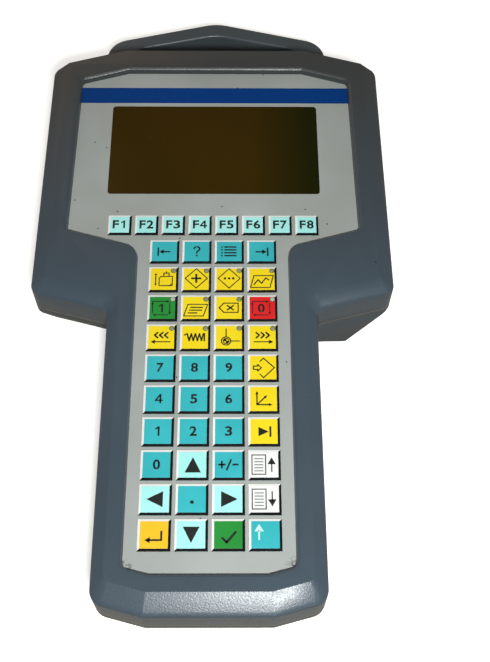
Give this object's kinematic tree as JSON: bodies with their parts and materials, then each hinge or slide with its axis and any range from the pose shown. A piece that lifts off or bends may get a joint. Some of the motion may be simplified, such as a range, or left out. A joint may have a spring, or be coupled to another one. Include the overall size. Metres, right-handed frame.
{
  "type": "teach pendant",
  "caption": "Hand-held teach pendant: wide display head, narrow neck with coloured keypad, carry bow behind the head and an enabling lever at the right of the back.",
  "frame": {"origin": "centre of the outline at the level of the flat back", "axes": "+X to the user's right, +Y along the body from the foot of the neck to the carry bow, +Z out of the keypad panel"},
  "size_m": [0.21, 0.4115, 0.048],
  "materials": {
    "casing_front": "moulded, fine grain, slate blue-grey",
    "casing_rear": "moulded, fine grain, slate blue-grey",
    "grip_plastic": "moulded, fine grain",
    "lever_plastic": "moulded, satin black",
    "panel_plate": "satin printed grey with a navy band",
    "window_pane": "dark smoked acrylic",
    "module_frame": "black lacquered sheet",
    "board": "green solder mask",
    "mat_rubber": "grey silicone rubber",
    "gasket_rubber": "black rubber",
    "screw_steel": "zinc plated",
    "gland_plastic": "black polyamide",
    "key_teal": "satin",
    "key_yellow": "satin",
    "key_aqua": "satin",
    "key_green": "satin",
    "key_white": "satin",
    "key_red": "satin",
    "key_orange": "satin"
  },
  "bodies": {
    "casing": {"cable_gland": "gland_plastic", "case_gasket": "gasket_rubber", "case_screws": "screw_steel", "display_module": "module_frame", "display_window": "window_pane", "enabling_grip": "grip_plastic", "front_shell": "casing_front", "key_mat": "mat_rubber", "keypad_overlay": "panel_plate", "main_board": "board", "rear_shell": "casing_rear"},
    "lever": {"enabling_lever": "lever_plastic"},
    "key_0": {"key_0": "key_teal"},
    "key_1": {"key_1": "key_teal"},
    "key_2": {"key_2": "key_teal"},
    "key_3": {"key_3": "key_teal"},
    "key_4": {"key_4": "key_teal"},
    "key_5": {"key_5": "key_teal"},
    "key_6": {"key_6": "key_teal"},
    "key_7": {"key_7": "key_teal"},
    "key_8": {"key_8": "key_teal"},
    "key_9": {"key_9": "key_teal"},
    "key_accept": {"key_accept": "key_green"},
    "key_auto_cycle": {"key_auto_cycle": "key_green"},
    "key_axis": {"key_axis": "key_yellow"},
    "key_block": {"key_block": "key_yellow"},
    "key_clear": {"key_clear": "key_yellow"},
    "key_down": {"key_down": "key_aqua"},
    "key_escape": {"key_escape": "key_orange"},
    "key_f1": {"key_f1": "key_aqua"},
    "key_f2": {"key_f2": "key_aqua"},
    "key_f3": {"key_f3": "key_aqua"},
    "key_f4": {"key_f4": "key_aqua"},
    "key_f5": {"key_f5": "key_aqua"},
    "key_f6": {"key_f6": "key_aqua"},
    "key_f7": {"key_f7": "key_aqua"},
    "key_f8": {"key_f8": "key_aqua"},
    "key_graphics": {"key_graphics": "key_yellow"},
    "key_help": {"key_help": "key_teal"},
    "key_home": {"key_home": "key_yellow"},
    "key_insert": {"key_insert": "key_yellow"},
    "key_jog_minus": {"key_jog_minus": "key_yellow"},
    "key_jog_plus": {"key_jog_plus": "key_yellow"},
    "key_left": {"key_left": "key_aqua"},
    "key_menu": {"key_menu": "key_teal"},
    "key_message": {"key_message": "key_yellow"},
    "key_next": {"key_next": "key_yellow"},
    "key_page_down": {"key_page_down": "key_white"},
    "key_page_up": {"key_page_up": "key_white"},
    "key_point": {"key_point": "key_teal"},
    "key_program": {"key_program": "key_yellow"},
    "key_right": {"key_right": "key_aqua"},
    "key_setup": {"key_setup": "key_yellow"},
    "key_shift": {"key_shift": "key_teal"},
    "key_sign": {"key_sign": "key_teal"},
    "key_soft_left": {"key_soft_left": "key_teal"},
    "key_soft_right": {"key_soft_right": "key_teal"},
    "key_spring_wave": {"key_spring_wave": "key_yellow"},
    "key_stop_cycle": {"key_stop_cycle": "key_red"},
    "key_up": {"key_up": "key_aqua"}
  },
  "joints": [
    {"name": "enabling_lever_swing", "type": "hinge", "parent": "casing", "child": "lever", "pos_m": [0.08931, 0.04615, 0.01137], "axis": [-0.7328, 0, -0.6805], "range_deg": [0, 3], "stiffness_Nm_per_rad": 2, "springref_deg": -1.72},
    {"name": "key_0_press", "type": "slide", "parent": "casing", "child": "key_0", "axis": [0, 0, -1], "range_m": [0, 0.0005], "stiffness_N_per_m": 800, "springref_m": -0.0005},
    {"name": "key_1_press", "type": "slide", "parent": "casing", "child": "key_1", "axis": [0, 0, -1], "range_m": [0, 0.0005], "stiffness_N_per_m": 800, "springref_m": -0.0005},
    {"name": "key_2_press", "type": "slide", "parent": "casing", "child": "key_2", "axis": [0, 0, -1], "range_m": [0, 0.0005], "stiffness_N_per_m": 800, "springref_m": -0.0005},
    {"name": "key_3_press", "type": "slide", "parent": "casing", "child": "key_3", "axis": [0, 0, -1], "range_m": [0, 0.0005], "stiffness_N_per_m": 800, "springref_m": -0.0005},
    {"name": "key_4_press", "type": "slide", "parent": "casing", "child": "key_4", "axis": [0, 0, -1], "range_m": [0, 0.0005], "stiffness_N_per_m": 800, "springref_m": -0.0005},
    {"name": "key_5_press", "type": "slide", "parent": "casing", "child": "key_5", "axis": [0, 0, -1], "range_m": [0, 0.0005], "stiffness_N_per_m": 800, "springref_m": -0.0005},
    {"name": "key_6_press", "type": "slide", "parent": "casing", "child": "key_6", "axis": [0, 0, -1], "range_m": [0, 0.0005], "stiffness_N_per_m": 800, "springref_m": -0.0005},
    {"name": "key_7_press", "type": "slide", "parent": "casing", "child": "key_7", "axis": [0, 0, -1], "range_m": [0, 0.0005], "stiffness_N_per_m": 800, "springref_m": -0.0005},
    {"name": "key_8_press", "type": "slide", "parent": "casing", "child": "key_8", "axis": [0, 0, -1], "range_m": [0, 0.0005], "stiffness_N_per_m": 800, "springref_m": -0.0005},
    {"name": "key_9_press", "type": "slide", "parent": "casing", "child": "key_9", "axis": [0, 0, -1], "range_m": [0, 0.0005], "stiffness_N_per_m": 800, "springref_m": -0.0005},
    {"name": "key_accept_press", "type": "slide", "parent": "casing", "child": "key_accept", "axis": [0, 0, -1], "range_m": [0, 0.0005], "stiffness_N_per_m": 800, "springref_m": -0.0005},
    {"name": "key_auto_cycle_press", "type": "slide", "parent": "casing", "child": "key_auto_cycle", "axis": [0, 0, -1], "range_m": [0, 0.0005], "stiffness_N_per_m": 800, "springref_m": -0.0005},
    {"name": "key_axis_press", "type": "slide", "parent": "casing", "child": "key_axis", "axis": [0, 0, -1], "range_m": [0, 0.0005], "stiffness_N_per_m": 800, "springref_m": -0.0005},
    {"name": "key_block_press", "type": "slide", "parent": "casing", "child": "key_block", "axis": [0, 0, -1], "range_m": [0, 0.0005], "stiffness_N_per_m": 800, "springref_m": -0.0005},
    {"name": "key_clear_press", "type": "slide", "parent": "casing", "child": "key_clear", "axis": [0, 0, -1], "range_m": [0, 0.0005], "stiffness_N_per_m": 800, "springref_m": -0.0005},
    {"name": "key_down_press", "type": "slide", "parent": "casing", "child": "key_down", "axis": [0, 0, -1], "range_m": [0, 0.0005], "stiffness_N_per_m": 800, "springref_m": -0.0005},
    {"name": "key_escape_press", "type": "slide", "parent": "casing", "child": "key_escape", "axis": [0, 0, -1], "range_m": [0, 0.0005], "stiffness_N_per_m": 800, "springref_m": -0.0005},
    {"name": "key_graphics_press", "type": "slide", "parent": "casing", "child": "key_graphics", "axis": [0, 0, -1], "range_m": [0, 0.0005], "stiffness_N_per_m": 800, "springref_m": -0.0005},
    {"name": "key_help_press", "type": "slide", "parent": "casing", "child": "key_help", "axis": [0, 0, -1], "range_m": [0, 0.0005], "stiffness_N_per_m": 800, "springref_m": -0.0005},
    {"name": "key_home_press", "type": "slide", "parent": "casing", "child": "key_home", "axis": [0, 0, -1], "range_m": [0, 0.0005], "stiffness_N_per_m": 800, "springref_m": -0.0005},
    {"name": "key_insert_press", "type": "slide", "parent": "casing", "child": "key_insert", "axis": [0, 0, -1], "range_m": [0, 0.0005], "stiffness_N_per_m": 800, "springref_m": -0.0005},
    {"name": "key_jog_minus_press", "type": "slide", "parent": "casing", "child": "key_jog_minus", "axis": [0, 0, -1], "range_m": [0, 0.0005], "stiffness_N_per_m": 800, "springref_m": -0.0005},
    {"name": "key_jog_plus_press", "type": "slide", "parent": "casing", "child": "key_jog_plus", "axis": [0, 0, -1], "range_m": [0, 0.0005], "stiffness_N_per_m": 800, "springref_m": -0.0005},
    {"name": "key_left_press", "type": "slide", "parent": "casing", "child": "key_left", "axis": [0, 0, -1], "range_m": [0, 0.0005], "stiffness_N_per_m": 800, "springref_m": -0.0005},
    {"name": "key_menu_press", "type": "slide", "parent": "casing", "child": "key_menu", "axis": [0, 0, -1], "range_m": [0, 0.0005], "stiffness_N_per_m": 800, "springref_m": -0.0005},
    {"name": "key_message_press", "type": "slide", "parent": "casing", "child": "key_message", "axis": [0, 0, -1], "range_m": [0, 0.0005], "stiffness_N_per_m": 800, "springref_m": -0.0005},
    {"name": "key_next_press", "type": "slide", "parent": "casing", "child": "key_next", "axis": [0, 0, -1], "range_m": [0, 0.0005], "stiffness_N_per_m": 800, "springref_m": -0.0005},
    {"name": "key_page_down_press", "type": "slide", "parent": "casing", "child": "key_page_down", "axis": [0, 0, -1], "range_m": [0, 0.0005], "stiffness_N_per_m": 800, "springref_m": -0.0005},
    {"name": "key_page_up_press", "type": "slide", "parent": "casing", "child": "key_page_up", "axis": [0, 0, -1], "range_m": [0, 0.0005], "stiffness_N_per_m": 800, "springref_m": -0.0005},
    {"name": "key_point_press", "type": "slide", "parent": "casing", "child": "key_point", "axis": [0, 0, -1], "range_m": [0, 0.0005], "stiffness_N_per_m": 800, "springref_m": -0.0005},
    {"name": "key_program_press", "type": "slide", "parent": "casing", "child": "key_program", "axis": [0, 0, -1], "range_m": [0, 0.0005], "stiffness_N_per_m": 800, "springref_m": -0.0005},
    {"name": "key_right_press", "type": "slide", "parent": "casing", "child": "key_right", "axis": [0, 0, -1], "range_m": [0, 0.0005], "stiffness_N_per_m": 800, "springref_m": -0.0005},
    {"name": "key_setup_press", "type": "slide", "parent": "casing", "child": "key_setup", "axis": [0, 0, -1], "range_m": [0, 0.0005], "stiffness_N_per_m": 800, "springref_m": -0.0005},
    {"name": "key_shift_press", "type": "slide", "parent": "casing", "child": "key_shift", "axis": [0, 0, -1], "range_m": [0, 0.0005], "stiffness_N_per_m": 800, "springref_m": -0.0005},
    {"name": "key_sign_press", "type": "slide", "parent": "casing", "child": "key_sign", "axis": [0, 0, -1], "range_m": [0, 0.0005], "stiffness_N_per_m": 800, "springref_m": -0.0005},
    {"name": "key_soft_left_press", "type": "slide", "parent": "casing", "child": "key_soft_left", "axis": [0, 0, -1], "range_m": [0, 0.0005], "stiffness_N_per_m": 800, "springref_m": -0.0005},
    {"name": "key_soft_right_press", "type": "slide", "parent": "casing", "child": "key_soft_right", "axis": [0, 0, -1], "range_m": [0, 0.0005], "stiffness_N_per_m": 800, "springref_m": -0.0005},
    {"name": "key_spring_wave_press", "type": "slide", "parent": "casing", "child": "key_spring_wave", "axis": [0, 0, -1], "range_m": [0, 0.0005], "stiffness_N_per_m": 800, "springref_m": -0.0005},
    {"name": "key_stop_cycle_press", "type": "slide", "parent": "casing", "child": "key_stop_cycle", "axis": [0, 0, -1], "range_m": [0, 0.0005], "stiffness_N_per_m": 800, "springref_m": -0.0005},
    {"name": "key_up_press", "type": "slide", "parent": "casing", "child": "key_up", "axis": [0, 0, -1], "range_m": [0, 0.0005], "stiffness_N_per_m": 800, "springref_m": -0.0005},
    {"name": "key_f1_press", "type": "slide", "parent": "casing", "child": "key_f1", "axis": [0, 0, -1], "range_m": [0, 0.0005], "stiffness_N_per_m": 800, "springref_m": -0.0005},
    {"name": "key_f2_press", "type": "slide", "parent": "casing", "child": "key_f2", "axis": [0, 0, -1], "range_m": [0, 0.0005], "stiffness_N_per_m": 800, "springref_m": -0.0005},
    {"name": "key_f3_press", "type": "slide", "parent": "casing", "child": "key_f3", "axis": [0, 0, -1], "range_m": [0, 0.0005], "stiffness_N_per_m": 800, "springref_m": -0.0005},
    {"name": "key_f4_press", "type": "slide", "parent": "casing", "child": "key_f4", "axis": [0, 0, -1], "range_m": [0, 0.0005], "stiffness_N_per_m": 800, "springref_m": -0.0005},
    {"name": "key_f5_press", "type": "slide", "parent": "casing", "child": "key_f5", "axis": [0, 0, -1], "range_m": [0, 0.0005], "stiffness_N_per_m": 800, "springref_m": -0.0005},
    {"name": "key_f6_press", "type": "slide", "parent": "casing", "child": "key_f6", "axis": [0, 0, -1], "range_m": [0, 0.0005], "stiffness_N_per_m": 800, "springref_m": -0.0005},
    {"name": "key_f7_press", "type": "slide", "parent": "casing", "child": "key_f7", "axis": [0, 0, -1], "range_m": [0, 0.0005], "stiffness_N_per_m": 800, "springref_m": -0.0005},
    {"name": "key_f8_press", "type": "slide", "parent": "casing", "child": "key_f8", "axis": [0, 0, -1], "range_m": [0, 0.0005], "stiffness_N_per_m": 800, "springref_m": -0.0005}
  ]
}
